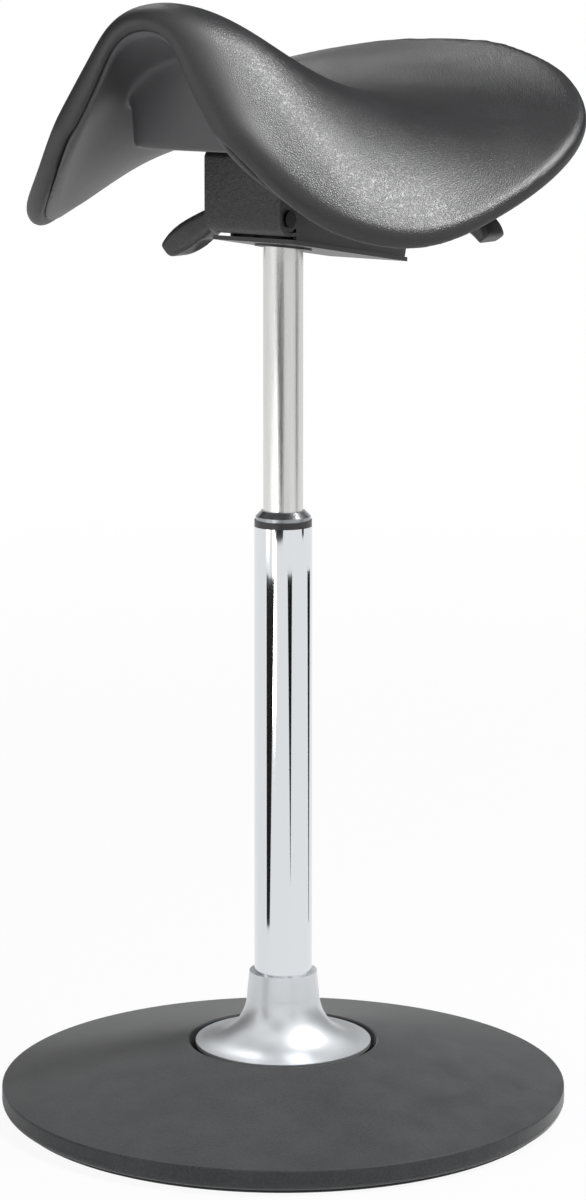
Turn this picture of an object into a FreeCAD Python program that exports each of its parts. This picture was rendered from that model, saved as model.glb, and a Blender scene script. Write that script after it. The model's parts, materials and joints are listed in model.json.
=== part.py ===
import FreeCAD, Part
import math
import os

# Saddle stool on a swaying disc foot. Millimetres, floor at z = 0, column axis on Z.
# The saddle's pommel points along -Y, the sitter's right hand is at -X.

# Fits and clearances
running_gap = 0.06      # shaft in a hole, per side
seat_gap = 0.3          # soft or moulded face to its neighbour
side_gap = 0.5          # plates that pass one another
fit_gap = 0.02          # parts pushed together

# Base disc
disc_radius = 200.0
disc_foot_radius = 196.5
disc_foot_rise = 6.0
rim_height = 17.5
rim_round = 1.5
cone_height = 46.0      # disc height where it meets the recess
recess_radius = 66.6
recess_round = 1.5
pad_thickness = 3.0
pad_radius = 194.0
pad_chamfer = 1.0
weight_radius = 180.0
weight_thickness = 10.0
disc_screw_count = 6
disc_screw_circle = 150.0
disc_screw_radius = 3.0
disc_screw_head = 6.0
disc_screw_head_depth = 3.0
disc_screw_length = 19.0

# Sway joint in the foot
buffer_base_radius = 53.0
buffer_base_thickness = 4.0
buffer_radius = 39.0
buffer_waist = 35.5
buffer_height = 14.0
buffer_top_radius = 42.0
buffer_top_thickness = 4.0
cap_screw_count = 4
cap_screw_radius = 3.0
cap_screw_head = 5.0
cap_screw_head_height = 5.0
base_screw_circle = 46.5
base_screw_length = 9.0
foot_screw_circle = 31.5
foot_screw_length = 9.0

# Column
column_outer = 20.5
column_inner = 18.0
column_top = 416.0
foot_radius = 38.5
foot_flange = 7.0
foot_spigot = 16.0
clip_pocket_radius = 12.0
clip_pocket_depth = 5.0
trumpet_top = 96.5
trumpet_top_radius = 23.9
trumpet_neck_radius = 25.6
trumpet_neck_height = 80.5
trumpet_foot_radius = 62.3
trumpet_wall = 2.8
hub_radius = 25.0
bush_length = 78.0
bush_collar = 4.5
bush_collar_radius = 20.2
ring_height = 6.5
ring_bevel = 4.0
ring_radius = 19.4

# Gas spring
rod_radius = 5.0
clip_radius = 8.0
clip_thickness = 1.5
clip_depth = 0.7
race_inner = 7.0
race_outer = 16.0
race_thickness = 2.0
ball_count = 8
ball_radius = 2.2
ball_circle = 11.5
cage_thickness = 1.6
rod_collar_radius = 9.0
rod_collar_height = 6.0
stop_radius = 15.0
stop_height = 20.0
tube_radius = 14.0
tube_bore = 12.0
tube_bottom = 342.0
tube_end_wall = 7.0
piston_height = 16.0
piston_rise = 20.0      # piston foot above the lower end of the tube at rest
taper_bottom = 604.0
taper_top = 650.0
taper_top_radius = 13.2
chamber_roof = 6.0      # solid below the taper's foot
button_radius = 4.0
button_stand = 8.0      # button above the taper's end
button_length = 36.0
button_dome = 8.0

# Mechanism pan
pan_tilt = 9.0          # degrees, front edge up
pan_front = -35.0
pan_rear = 101.0
pan_front_top = 621.0
pan_half_width = 34.5
pan_sheet = 3.0
socket_radius = 20.0
socket_stand = 1.5      # socket below the pan
cheek_inner = 26.0
cheek_sheet = 2.5
cheek_ear = 7.5
cheek_front_top = 650.0
cheek_rear_top = 650.0
cheek_shoulder = 78.0   # where the top edge starts to fall
cheek_overhang = 6.0    # rounded end behind the pan
cheek_relief = 4.0      # behind the bracket's returned edge

# Tilt bracket and its pivot
pivot_y = -35.0
pivot_z = 635.0
pin_radius = 4.0
pin_head_radius = 6.0
pin_head = 1.6
bracket_sheet = 2.5
bracket_half_width = 32.5
bracket_bend = 12.0
bracket_return = 8.0
bracket_flange_rear = 50.0
bracket_top_bend = 5.0
ear_sheet = 2.5
ear_rear = -25.0
ear_top = 652.0
plate_half_width = 46.0
plate_front = -52.0
plate_rear = 112.0
plate_sheet = 3.0
plate_corner = 12.0
seat_bolt_x = 39.5
seat_bolt_front = -18.0
seat_bolt_rear = 94.0
seat_bolt_radius = 4.0
seat_bolt_head = 6.0
seat_bolt_head_height = 4.5
seat_bolt_reach = 5.5

# Tilt clamp
clamp_y = 72.0
clamp_z = 640.0
clamp_radius = 4.0
clamp_head_radius = 7.0
clamp_head = 5.0
washer_radius = 9.0
washer_thickness = 5.0
quadrant_sheet = 3.0
quadrant_half_length = 16.0
slot_down = 5.0         # degrees of slot for the saddle's tail going down
slot_up = 10.5          # degrees of slot for the tail going up
quadrant_drop = 8.0     # plate below the bolt at the slot's low end
cam_x = 40.0
cam_radius = 6.2
cam_pin_radius = 2.0
bolt_eye_half = 3.0
fork_half = 9.0

# Levers
arm_y_half = 6.0
arm_height = 5.0
arm_reach = 7.0         # arm past the button's axis
lever_pivot_x = -42.0
lever_pivot_z = 655.0
lever_pin_radius = 2.5
clevis_sheet = 2.5
clevis_edge = 5.0       # ear past the pin, outward
clevis_rise = 3.0       # ear above the pin
clevis_drop = 9.0       # ear below the pin
strap_drop = 14.4       # strap's lower edge below the pin
strap_height = 6.0

# Saddle: place along the stool, crown height, rim half width, rim height, slope at rim,
# pad depth under the crown, rim thickness
saddle_sections = [
    (-157.0, 775.0, 63.0, 702.0, 53.0, 10.0, 16.0),
    (-152.0, 779.0, 74.0, 694.0, 55.0, 13.0, 17.0),
    (-138.0, 783.0, 98.0, 667.0, 58.0, 18.0, 17.0),
    (-105.0, 779.0, 136.0, 639.0, 56.0, 25.0, 17.0),
    (-60.0, 757.0, 163.0, 633.0, 49.0, 28.0, 17.0),
    (-10.0, 735.0, 178.0, 647.0, 38.0, 29.0, 17.0),
    (40.0, 723.0, 184.0, 667.0, 27.0, 28.0, 18.0),
    (85.0, 719.0, 179.0, 688.0, 16.0, 27.0, 20.0),
    (122.0, 722.0, 160.0, 706.0, 6.0, 26.0, 21.0),
    (152.0, 730.0, 129.0, 723.5, -5.0, 25.0, 21.0),
    (180.0, 741.0, 79.0, 738.0, -6.0, 22.0, 19.0),
    (199.0, 752.0, 40.0, 744.0, -4.0, 18.0, 17.0),
    (206.0, 752.0, 17.0, 744.0, 0.0, 14.0, 15.0),
]
crown_tight = 0.72      # crown arc at the pommel, as a share of an even one
crown_open = 0.0        # place along the stool where the crown arc is even
shell_thickness = 6.0
shell_lip = 1.2         # edge of the shell, square to the pad
shell_inset = 2.5
shell_bevel = 16.0
bevel_share = 0.2       # most of the half width that the bevel takes
shell_taper = 0.2       # thickness gained per length from either end
shell_allowance = 3.0   # blank above the bond line
block_bottom = 683.0
block_half_width = 60.0
block_front = -98.0
block_rear = 134.0
block_corner = 14.0
block_draft = 4.0


# Basic shapes

def at(x, y, z):
    return FreeCAD.Vector(x, y, z)


up = at(0, 0, 1)
along_x = at(1, 0, 0)
along_y = at(0, 1, 0)


def wire_in(place, start, steps):
    # Each step is an end point for a line, or a (middle, end) pair for an arc.
    edges = []
    here = start
    for step in steps:
        if isinstance(step[0], tuple):
            middle, end = step
            edges.append(Part.Arc(place(*here), place(*middle), place(*end)).toShape())
        else:
            end = step
            edges.append(Part.makeLine(place(*here), place(*end)))
        here = end
    if here != start:
        edges.append(Part.makeLine(place(*here), place(*start)))
    return Part.Wire(edges)


def turned(start, *steps):
    profile = Part.Face(wire_in(lambda r, z: at(r, 0, z), start, steps))
    return profile.revolve(at(0, 0, 0), up, 360)


def side_cut(x_low, x_high, start, *steps):
    # A profile in the YZ plane, given its thickness along X.
    face = Part.Face(wire_in(lambda y, z: at(x_low, y, z), start, steps))
    return face.extrude(at(x_high - x_low, 0, 0))


def upright(radius, low, high, x=0.0, y=0.0):
    return Part.makeCylinder(radius, high - low, at(x, y, low), up)


def crosswise(radius, low, high, y, z):
    return Part.makeCylinder(radius, high - low, at(low, y, z), along_x)


def lengthwise(radius, low, high, x, z):
    return Part.makeCylinder(radius, high - low, at(x, low, z), along_y)


def ring(outer, inner, low, high):
    return upright(outer, low, high).cut(upright(inner, low, high))


def on_circle(count, radius, turn=0.0):
    for index in range(count):
        angle = math.radians(turn) + 2 * math.pi * index / count
        yield radius * math.cos(angle), radius * math.sin(angle)


def joined(shapes):
    return shapes[0].multiFuse(shapes[1:]).removeSplitter()


def mirrored(shape):
    return shape.mirror(at(0, 0, 0), along_x)


def on_arc(centre, radius, degrees):
    angle = math.radians(degrees)
    return centre[0] + radius * math.cos(angle), centre[1] + radius * math.sin(angle)


# Heights that stack up from the floor
weight_top = pad_thickness + weight_thickness
buffer_bottom = weight_top + buffer_base_thickness
buffer_top = buffer_bottom + buffer_height
foot_bottom = buffer_top + buffer_top_thickness
flange_top = foot_bottom + foot_flange
spigot_top = flange_top + foot_spigot
ball_floor = spigot_top + race_thickness + running_gap
ball_roof = ball_floor + 2 * ball_radius
collar_foot = ball_roof + race_thickness
collar_top = collar_foot + rod_collar_height
piston_foot = tube_bottom + piston_rise
plate_bottom = block_bottom - plate_sheet
cheek_outer = cheek_inner + cheek_sheet
ear_inner = cheek_outer + side_gap
ear_outer = ear_inner + ear_sheet
pan_fall = math.tan(math.radians(pan_tilt))


def pan_top(y):
    return pan_front_top - (y - pan_front) * pan_fall


# Base

def base_disc():
    foot_middle = (
        disc_foot_radius + (disc_radius - disc_foot_radius) * math.sin(math.pi / 4),
        pad_thickness + disc_foot_rise * (1 - math.cos(math.pi / 4)),
    )
    bevel = 1 - math.cos(math.pi / 4)
    pocket = weight_radius + seat_gap
    disc = turned(
        (pocket, pad_thickness),
        (disc_foot_radius, pad_thickness),
        (foot_middle, (disc_radius, pad_thickness + disc_foot_rise)),
        (disc_radius, rim_height - rim_round),
        ((disc_radius - rim_round * bevel, rim_height - rim_round * bevel), (disc_radius - rim_round, rim_height)),
        (recess_radius + recess_round, cone_height),
        ((recess_radius + recess_round * bevel, cone_height - recess_round * bevel),
         (recess_radius, cone_height - recess_round)),
        (recess_radius, weight_top),
        (pocket, weight_top),
    )
    for x, y in on_circle(disc_screw_count, disc_screw_circle):
        depth = pad_thickness + disc_screw_length + seat_gap
        disc = disc.cut(upright(disc_screw_radius + fit_gap, pad_thickness, depth, x, y))
    return disc


def weight_plate():
    plate = upright(weight_radius, pad_thickness, weight_top)
    for x, y in on_circle(disc_screw_count, disc_screw_circle):
        plate = plate.cut(upright(disc_screw_radius + fit_gap, pad_thickness, weight_top, x, y))
        plate = plate.cut(countersink(fit_gap).translated(at(x, y, 0)))
    for x, y in on_circle(cap_screw_count, base_screw_circle, 45):
        hole_floor = buffer_bottom - base_screw_length - seat_gap
        plate = plate.cut(upright(cap_screw_radius + fit_gap, hole_floor, weight_top, x, y))
    return plate


def countersink(gap):
    return Part.makeCone(
        disc_screw_head + gap, disc_screw_radius + gap, disc_screw_head_depth, at(0, 0, pad_thickness), up)


def disc_screws():
    screw = countersink(0.0).fuse(upright(disc_screw_radius, pad_thickness, pad_thickness + disc_screw_length))
    return Part.makeCompound([
        screw.removeSplitter().translated(at(x, y, 0)) for x, y in on_circle(disc_screw_count, disc_screw_circle)])


def floor_pad():
    return turned(
        (0.0, 0.0),
        (pad_radius - pad_chamfer, 0.0),
        (pad_radius, pad_chamfer),
        (pad_radius, pad_thickness),
        (0.0, pad_thickness),
    )


def cap_screws(seat, length, circle, turn):
    screws = []
    for x, y in on_circle(cap_screw_count, circle, turn):
        head = upright(cap_screw_head, seat, seat + cap_screw_head_height, x, y)
        socket = Part.makeBox(cap_screw_radius, cap_screw_radius, cap_screw_head_height)
        socket.translate(at(x - cap_screw_radius / 2, y - cap_screw_radius / 2, seat + cap_screw_head_height / 2))
        screws.append(head.cut(socket).fuse(upright(cap_screw_radius, seat - length, seat, x, y)).removeSplitter())
    return Part.makeCompound(screws)


def buffer_base():
    base = upright(buffer_base_radius, weight_top, buffer_bottom)
    for x, y in on_circle(cap_screw_count, base_screw_circle, 45):
        base = base.cut(upright(cap_screw_radius + fit_gap, weight_top, buffer_bottom, x, y))
    return base


def sway_buffer():
    middle = (buffer_bottom + buffer_top) / 2
    return turned(
        (0.0, buffer_bottom),
        (buffer_radius, buffer_bottom),
        ((buffer_waist, middle), (buffer_radius, buffer_top)),
        (0.0, buffer_top),
    )


# Column

def buffer_top_plate():
    plate = upright(buffer_top_radius, buffer_top, foot_bottom)
    hole_floor = flange_top - foot_screw_length - seat_gap
    for x, y in on_circle(cap_screw_count, foot_screw_circle, 0):
        plate = plate.cut(upright(cap_screw_radius + fit_gap, hole_floor, foot_bottom, x, y))
    return plate


def column_foot():
    foot = upright(foot_radius, foot_bottom, flange_top).fuse(upright(column_inner - fit_gap, flange_top, spigot_top))
    foot = foot.cut(upright(clip_pocket_radius, foot_bottom, foot_bottom + clip_pocket_depth))
    foot = foot.cut(upright(rod_radius + running_gap, foot_bottom, spigot_top))
    for x, y in on_circle(cap_screw_count, foot_screw_circle, 0):
        foot = foot.cut(upright(cap_screw_radius + fit_gap, foot_bottom, flange_top, x, y))
    return foot.removeSplitter()


def column_tube():
    return ring(column_outer, column_inner, flange_top, column_top)


def trumpet():
    flare = trumpet_neck_height - cone_height
    centre = (trumpet_neck_radius + flare, trumpet_neck_height)
    inner = flare + trumpet_wall
    hub_angle = math.degrees(math.acos((hub_radius - centre[0]) / inner))
    hub_meet = on_arc(centre, inner, -hub_angle)
    bore = column_outer + fit_gap
    return turned(
        (bore, flange_top),
        (hub_radius, flange_top),
        hub_meet,
        (on_arc(centre, inner, (-hub_angle - 90) / 2), (centre[0], cone_height - trumpet_wall)),
        (trumpet_foot_radius, cone_height - trumpet_wall),
        (trumpet_foot_radius, cone_height),
        (centre[0], cone_height),
        (on_arc(centre, flare, -135), (trumpet_neck_radius, trumpet_neck_height)),
        (trumpet_top_radius, trumpet_top),
        (bore, trumpet_top),
    )


def guide_bush():
    bush = ring(column_inner - fit_gap, tube_radius + running_gap, column_top - bush_length, column_top)
    collar = ring(bush_collar_radius, tube_radius + running_gap, column_top, column_top + bush_collar)
    return bush.fuse(collar).removeSplitter()


def top_ring():
    low = column_top + bush_collar
    bore = tube_radius + running_gap
    return turned(
        (bore, low),
        (ring_radius, low),
        (ring_radius, low + ring_height - ring_bevel),
        (ring_radius - ring_bevel, low + ring_height),
        (bore, low + ring_height),
    )


# Gas spring

def bearing_race(low):
    return ring(race_outer, race_inner, low, low + race_thickness)


def bearing_balls():
    level = ball_floor + ball_radius
    return Part.makeCompound([
        Part.makeSphere(ball_radius, at(x, y, level)) for x, y in on_circle(ball_count, ball_circle)])


def bearing_cage():
    level = ball_floor + ball_radius
    cage = ring(race_outer - side_gap, race_inner + side_gap, level - cage_thickness / 2, level + cage_thickness / 2)
    for x, y in on_circle(ball_count, ball_circle):
        cage = cage.cut(Part.makeSphere(ball_radius + running_gap, at(x, y, level)))
    return cage


clip_floor = foot_bottom + (clip_pocket_depth - clip_thickness) / 2


def piston_rod():
    rod = upright(rod_radius, foot_bottom + side_gap, piston_foot + piston_height / 2)
    groove = ring(2 * rod_radius, rod_radius - clip_depth, clip_floor - fit_gap, clip_floor + clip_thickness + fit_gap)
    rod = rod.cut(groove)
    return rod.fuse(upright(rod_collar_radius, collar_foot, collar_top)).removeSplitter()


def rod_clip():
    clip = ring(clip_radius, rod_radius - clip_depth + fit_gap, clip_floor, clip_floor + clip_thickness)
    mouth = Part.makeBox(clip_radius, rod_radius, clip_thickness)
    mouth.translate(at(0, -rod_radius / 2, clip_floor))
    return clip.cut(mouth)


def bump_stop():
    return ring(stop_radius, rod_radius + fit_gap, collar_top, collar_top + stop_height)


def piston():
    body = upright(tube_bore - running_gap, piston_foot, piston_foot + piston_height)
    return body.cut(upright(rod_radius + fit_gap, piston_foot, piston_foot + piston_height / 2))


def pressure_tube():
    tube = upright(tube_radius, tube_bottom, taper_bottom)
    taper = Part.makeCone(
        tube_radius, taper_top_radius, taper_top - taper_bottom, at(0, 0, taper_bottom), up)
    tube = tube.fuse(taper)
    tube = tube.cut(upright(tube_bore, tube_bottom + tube_end_wall, taper_bottom - chamber_roof))
    tube = tube.cut(upright(rod_radius + running_gap, tube_bottom, tube_bottom + tube_end_wall))
    return tube.cut(upright(button_radius + running_gap, taper_bottom, taper_top)).removeSplitter()


button_top = taper_top + button_stand


def release_button():
    shaft = upright(button_radius, button_top - button_length, button_top)
    dome = Part.makeSphere(button_dome, at(0, 0, button_top - button_dome))
    keep = upright(button_radius, button_top - button_length, button_top - button_dome).fuse(dome)
    return shaft.common(keep).removeSplitter()


# Mechanism pan

def taper_socket():
    # The lower end is cut parallel to the pan.
    drop = pan_sheet + socket_stand
    body = side_cut(
        -socket_radius, socket_radius,
        (-socket_radius, pan_top(-socket_radius) - drop),
        (socket_radius, pan_top(socket_radius) - drop),
        (socket_radius, taper_top),
        (-socket_radius, taper_top),
    )
    body = body.common(upright(socket_radius, taper_bottom, taper_top))
    bore = Part.makeCone(
        tube_radius + fit_gap, taper_top_radius + fit_gap, taper_top - taper_bottom, at(0, 0, taper_bottom), up)
    return body.cut(bore)


def cheek():
    rear = pan_rear + cheek_overhang
    low = pan_top(rear) + cheek_overhang / 2
    step = pivot_y + bracket_return + cheek_relief
    blank = side_cut(
        cheek_inner, cheek_outer,
        (pivot_y, pivot_z - cheek_ear),
        ((pivot_y - cheek_ear, pivot_z), (pivot_y, pivot_z + cheek_ear)),
        (pivot_y + 2 * cheek_ear, cheek_front_top),
        (cheek_shoulder, cheek_rear_top),
        ((rear - cheek_overhang / 2, (low + cheek_rear_top) / 2 + cheek_overhang), (rear, low)),
        ((rear - cheek_overhang / 4, low - cheek_overhang / 2), (pan_rear, pan_top(pan_rear))),
        (step, pan_top(step)),
        (step, pivot_z - cheek_ear),
    )
    blank = blank.cut(crosswise(pin_radius + fit_gap, cheek_inner, cheek_outer, pivot_y, pivot_z))
    return blank.cut(crosswise(clamp_radius + fit_gap, cheek_inner, cheek_outer, clamp_y, clamp_z))


def mechanism_pan():
    sheet = side_cut(
        -pan_half_width, pan_half_width,
        (pan_front, pan_top(pan_front)),
        (pan_rear, pan_top(pan_rear)),
        (pan_rear, pan_top(pan_rear) - pan_sheet),
        (pan_front, pan_top(pan_front) - pan_sheet),
    )
    pan = joined([sheet, cheek(), mirrored(cheek())])
    return pan.cut(upright(socket_radius + fit_gap, taper_bottom, taper_top))


def pivot_pin():
    reach = ear_outer + running_gap
    heads = [crosswise(pin_head_radius, reach, reach + pin_head, pivot_y, pivot_z),
             crosswise(pin_head_radius, -reach - pin_head, -reach, pivot_y, pivot_z)]
    return joined([crosswise(pin_radius, -reach, reach, pivot_y, pivot_z)] + heads)


# Tilt bracket and seat plate

def bracket_ear():
    wall_inner = pivot_y - bracket_bend + bracket_sheet
    blank = side_cut(
        ear_inner, ear_outer,
        (wall_inner, pivot_z),
        (wall_inner, ear_top),
        (pivot_y, ear_top),
        (ear_rear, pivot_z + cheek_ear),
        (ear_rear, pivot_z),
        ((pivot_y, pivot_z - (pivot_y - wall_inner)), (wall_inner, pivot_z)),
    )
    return blank.cut(crosswise(pin_radius + running_gap, ear_inner, ear_outer, pivot_y, pivot_z))


def tilt_bracket():
    centre = (pivot_y, pivot_z)
    front = pivot_y - bracket_bend
    back = front + bracket_sheet
    inner_bend = bracket_bend - bracket_sheet
    top = plate_bottom
    top_centre = (front + bracket_top_bend, top - bracket_top_bend)
    inner_top = bracket_top_bend - bracket_sheet
    sheet = side_cut(
        -bracket_half_width, bracket_half_width,
        (bracket_flange_rear, top),
        (top_centre[0], top),
        (on_arc(top_centre, bracket_top_bend, 135), (front, top_centre[1])),
        (front, pivot_z),
        (on_arc(centre, bracket_bend, 225), (pivot_y, pivot_z - bracket_bend)),
        (pivot_y + bracket_return, pivot_z - bracket_bend),
        (pivot_y + bracket_return, pivot_z - inner_bend),
        (pivot_y, pivot_z - inner_bend),
        (on_arc(centre, inner_bend, 225), (back, pivot_z)),
        (back, top_centre[1]),
        (on_arc(top_centre, inner_top, 135), (top_centre[0], top - bracket_sheet)),
        (bracket_flange_rear, top - bracket_sheet),
    )
    return joined([sheet, bracket_ear(), mirrored(bracket_ear())])


def seat_bolt_places():
    for y in (seat_bolt_front, seat_bolt_rear):
        for x in (-seat_bolt_x, seat_bolt_x):
            yield x, y


def rounded_plate(half_width, front, rear, low, high, corner):
    plate = Part.makeBox(2 * half_width, rear - front, high - low, at(-half_width, front, low))
    corners = [edge for edge in plate.Edges if abs(edge.tangentAt(edge.FirstParameter).z) > 0.9]
    return plate.makeFillet(corner, corners)


def seat_plate():
    plate = rounded_plate(plate_half_width, plate_front, plate_rear, plate_bottom, block_bottom, plate_corner)
    for x, y in seat_bolt_places():
        plate = plate.cut(upright(seat_bolt_radius + fit_gap, plate_bottom, block_bottom, x, y))
    return plate


def seat_bolts():
    bolts = []
    for x, y in seat_bolt_places():
        head = upright(seat_bolt_head, plate_bottom - seat_bolt_head_height, plate_bottom, x, y)
        bolts.append(head.fuse(
            upright(seat_bolt_radius, plate_bottom, block_bottom + seat_bolt_reach, x, y)).removeSplitter())
    return Part.makeCompound(bolts)


# Tilt clamp

clamp_arm = math.hypot(clamp_y - pivot_y, clamp_z - pivot_z)
clamp_angle = math.degrees(math.atan2(clamp_z - pivot_z, clamp_y - pivot_y))


def quadrant():
    outer = cheek_inner - side_gap
    inner = outer - quadrant_sheet
    half = clamp_radius + seat_gap
    centre = (pivot_y, pivot_z)
    low = clamp_angle - slot_up
    high = clamp_angle + slot_down
    middle = (low + high) / 2
    bottom = on_arc(centre, clamp_arm, low)[1] - quadrant_drop
    foot_y = on_arc(centre, clamp_arm, middle)[0]
    blank = side_cut(
        inner, outer,
        (clamp_y - quadrant_half_length, plate_bottom),
        (clamp_y - quadrant_half_length, bottom + quadrant_half_length / 2),
        ((foot_y, bottom), (clamp_y + quadrant_half_length, bottom + quadrant_half_length / 2)),
        (clamp_y + quadrant_half_length, plate_bottom),
    )
    near = clamp_arm - half
    far = clamp_arm + half
    slot = side_cut(
        inner, outer,
        on_arc(centre, near, low),
        (on_arc(centre, near, middle), on_arc(centre, near, high)),
        (slot_end(centre, high, half, 1), on_arc(centre, far, high)),
        (on_arc(centre, far, middle), on_arc(centre, far, low)),
        (slot_end(centre, low, half, -1), on_arc(centre, near, low)),
    )
    return blank.cut(slot)


def slot_end(centre, degrees, half, way):
    angle = math.radians(degrees)
    y, z = on_arc(centre, clamp_arm, degrees)
    return y - way * half * math.sin(angle), z + way * half * math.cos(angle)


def clamp_bolt():
    head_end = -cheek_outer
    shaft = crosswise(clamp_radius, head_end, cam_x, clamp_y, clamp_z)
    head = crosswise(clamp_head_radius, head_end - clamp_head, head_end, clamp_y, clamp_z)
    eye = lengthwise(clamp_radius, clamp_y - bolt_eye_half, clamp_y + bolt_eye_half, cam_x, clamp_z)
    bolt = joined([shaft, head, eye])
    start = cheek_outer + washer_thickness
    slim = Part.makeBox(cam_x + clamp_radius - start, clamp_radius, 2 * clamp_radius)
    for edge in (clamp_y + bolt_eye_half, clamp_y - bolt_eye_half - clamp_radius):
        bolt = bolt.cut(slim.translated(at(start, edge, clamp_z - clamp_radius)))
    return bolt.cut(lengthwise(
        cam_pin_radius + running_gap, clamp_y - bolt_eye_half, clamp_y + bolt_eye_half, cam_x, clamp_z))


def clamp_washer():
    washer = crosswise(washer_radius, cheek_outer, cheek_outer + washer_thickness, clamp_y, clamp_z)
    return washer.cut(crosswise(clamp_radius + fit_gap, cheek_outer, cheek_outer + washer_thickness, clamp_y, clamp_z))


# Levers

def lever_section(x, z, slope, y, half_width, height, corner):
    # A rounded rectangle square to a path that runs in the XZ plane.
    angle = math.radians(slope)
    across = at(-math.sin(angle), 0, math.cos(angle))

    def place(side, rise):
        return at(x, y + side, z) + across * rise

    w = half_width
    h = height / 2
    c = corner
    b = corner * (1 - math.cos(math.pi / 4))
    return wire_in(
        place,
        (-w + c, -h),
        [(w - c, -h), ((w - b, -h + b), (w, -h + c)), (w, h - c), ((w - b, h - b), (w - c, h)),
         (-w + c, h), ((-w + b, h - b), (-w, h - c)), (-w, -h + c), ((-w + b, -h + b), (-w + c, -h))])


def horn(stations, y):
    wires = [lever_section(x, z, slope, y, half, height, corner) for x, z, slope, half, height, corner in stations]
    return Part.makeLoft(wires, True, False)


# Stations of each paddle: x, z, slope of the path, half width, height, corner radius
height_paddle_stations = [
    (-54.0, 634.0, 42.0, 8.0, 13.0, 3.0),
    (-66.0, 625.0, 36.0, 9.5, 18.0, 4.0),
    (-82.0, 615.0, 33.0, 11.5, 20.0, 4.5),
    (-97.0, 605.0, 42.0, 12.0, 12.0, 4.0),
]
tilt_paddle_stations = [
    (52.0, 638.0, 2.0, 8.0, 11.0, 3.0),
    (78.0, 638.0, -2.0, 9.5, 13.0, 4.0),
    (103.0, 634.5, -14.0, 11.5, 14.0, 4.5),
    (119.0, 627.5, -38.0, 12.5, 13.0, 4.0),
    (126.0, 619.0, -54.0, 12.0, 9.0, 3.0),
]
thumb_radius = 30.0
thumb_depth = 3.5
thumb_share = 0.65      # of the paddle's width


def thumb_hollow(stations, y, index):
    x, z, slope, half, height, corner = stations[index]
    angle = math.radians(slope)
    offset = height / 2 + thumb_radius - thumb_depth
    centre = at(x + math.sin(angle) * offset, y, z - math.cos(angle) * offset)
    reach = thumb_share * half
    return Part.makeCylinder(thumb_radius, 2 * reach, centre - along_y * reach, along_y)


def height_paddle():
    body = horn(height_paddle_stations, 0.0)
    body = body.cut(thumb_hollow(height_paddle_stations, 0.0, 2))
    return body.cut(height_arm_blank(fit_gap))


def tilt_paddle():
    body = horn(tilt_paddle_stations, clamp_y)
    body = body.cut(thumb_hollow(tilt_paddle_stations, clamp_y, 2))
    return body.cut(tilt_arm_blank(fit_gap))


def strip(points, thickness, half_width, y):
    # A flat bar bent in the XZ plane, built leg by leg with rounded corners.
    legs = []
    for (x0, z0), (x1, z1) in zip(points, points[1:]):
        length = math.hypot(x1 - x0, z1 - z0)
        bar = Part.makeBox(length, 2 * half_width, thickness, at(0, -half_width, -thickness / 2))
        bar.rotate(at(0, 0, 0), along_y, -math.degrees(math.atan2(z1 - z0, x1 - x0)))
        legs.append(bar.translated(at(x0, y, z0)))
    for x, z in points[1:-1]:
        legs.append(lengthwise(thickness / 2, y - half_width, y + half_width, x, z))
    return joined(legs)


arm_level = button_top + seat_gap + arm_height / 2
arm_end = (-78.0, 616.0)


def height_arm_blank(gap):
    points = [(arm_reach, arm_level), (-cheek_outer - 2 * arm_height, arm_level), arm_end]
    return strip(points, arm_height + 2 * gap, arm_y_half + gap, 0.0)


def height_arm():
    knuckle = lengthwise(lever_pin_radius + arm_height / 2, -arm_y_half, arm_y_half, lever_pivot_x, lever_pivot_z)
    arm = joined([height_arm_blank(0.0), knuckle])
    return arm.cut(lengthwise(lever_pin_radius + running_gap, -arm_y_half, arm_y_half, lever_pivot_x, lever_pivot_z))


def lever_clevis():
    # Two ears on a strap that is welded to the outside of the cheek.
    reach = arm_y_half + side_gap
    outer = lever_pivot_x - clevis_edge
    ears = []
    for low in (reach, -reach - clevis_sheet):
        ears.append(Part.makeBox(
            -cheek_outer - outer, clevis_sheet, clevis_rise + clevis_drop,
            at(outer, low, lever_pivot_z - clevis_drop)))
    strap = Part.makeBox(
        clevis_sheet, 2 * (reach + clevis_sheet), strap_height,
        at(-cheek_outer - clevis_sheet, -reach - clevis_sheet, lever_pivot_z - strap_drop))
    clevis = joined(ears + [strap])
    span = reach + clevis_sheet
    return clevis.cut(lengthwise(lever_pin_radius + fit_gap, -span, span, lever_pivot_x, lever_pivot_z))


def lever_pin():
    reach = arm_y_half + side_gap + clevis_sheet
    return lengthwise(lever_pin_radius, -reach, reach, lever_pivot_x, lever_pivot_z)


def tilt_arm_blank(gap):
    start = cam_x
    end = tilt_paddle_stations[2][0]
    points = [(start, clamp_z), (tilt_paddle_stations[0][0], tilt_paddle_stations[0][1]),
              (end, tilt_paddle_stations[2][1])]
    return strip(points, arm_height + 2 * gap, arm_y_half + gap, clamp_y)


def tilt_arm():
    cam = lengthwise(cam_radius, clamp_y - fork_half, clamp_y + fork_half, cam_x, clamp_z)
    arm = joined([tilt_arm_blank(0.0), cam])
    reach = bolt_eye_half + side_gap
    jaw = Part.makeBox(3 * cam_radius, 2 * reach, 4 * cam_radius,
                       at(cam_x - 1.5 * cam_radius, clamp_y - reach, clamp_z - 2 * cam_radius))
    arm = arm.cut(jaw)
    return arm.cut(lengthwise(cam_pin_radius + fit_gap, clamp_y - fork_half, clamp_y + fork_half, cam_x, clamp_z))


def cam_pin():
    return lengthwise(cam_pin_radius, clamp_y - fork_half, clamp_y + fork_half, cam_x, clamp_z)


# Saddle

def dot(a, b):
    return a[0] * b[0] + a[1] * b[1]


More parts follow.
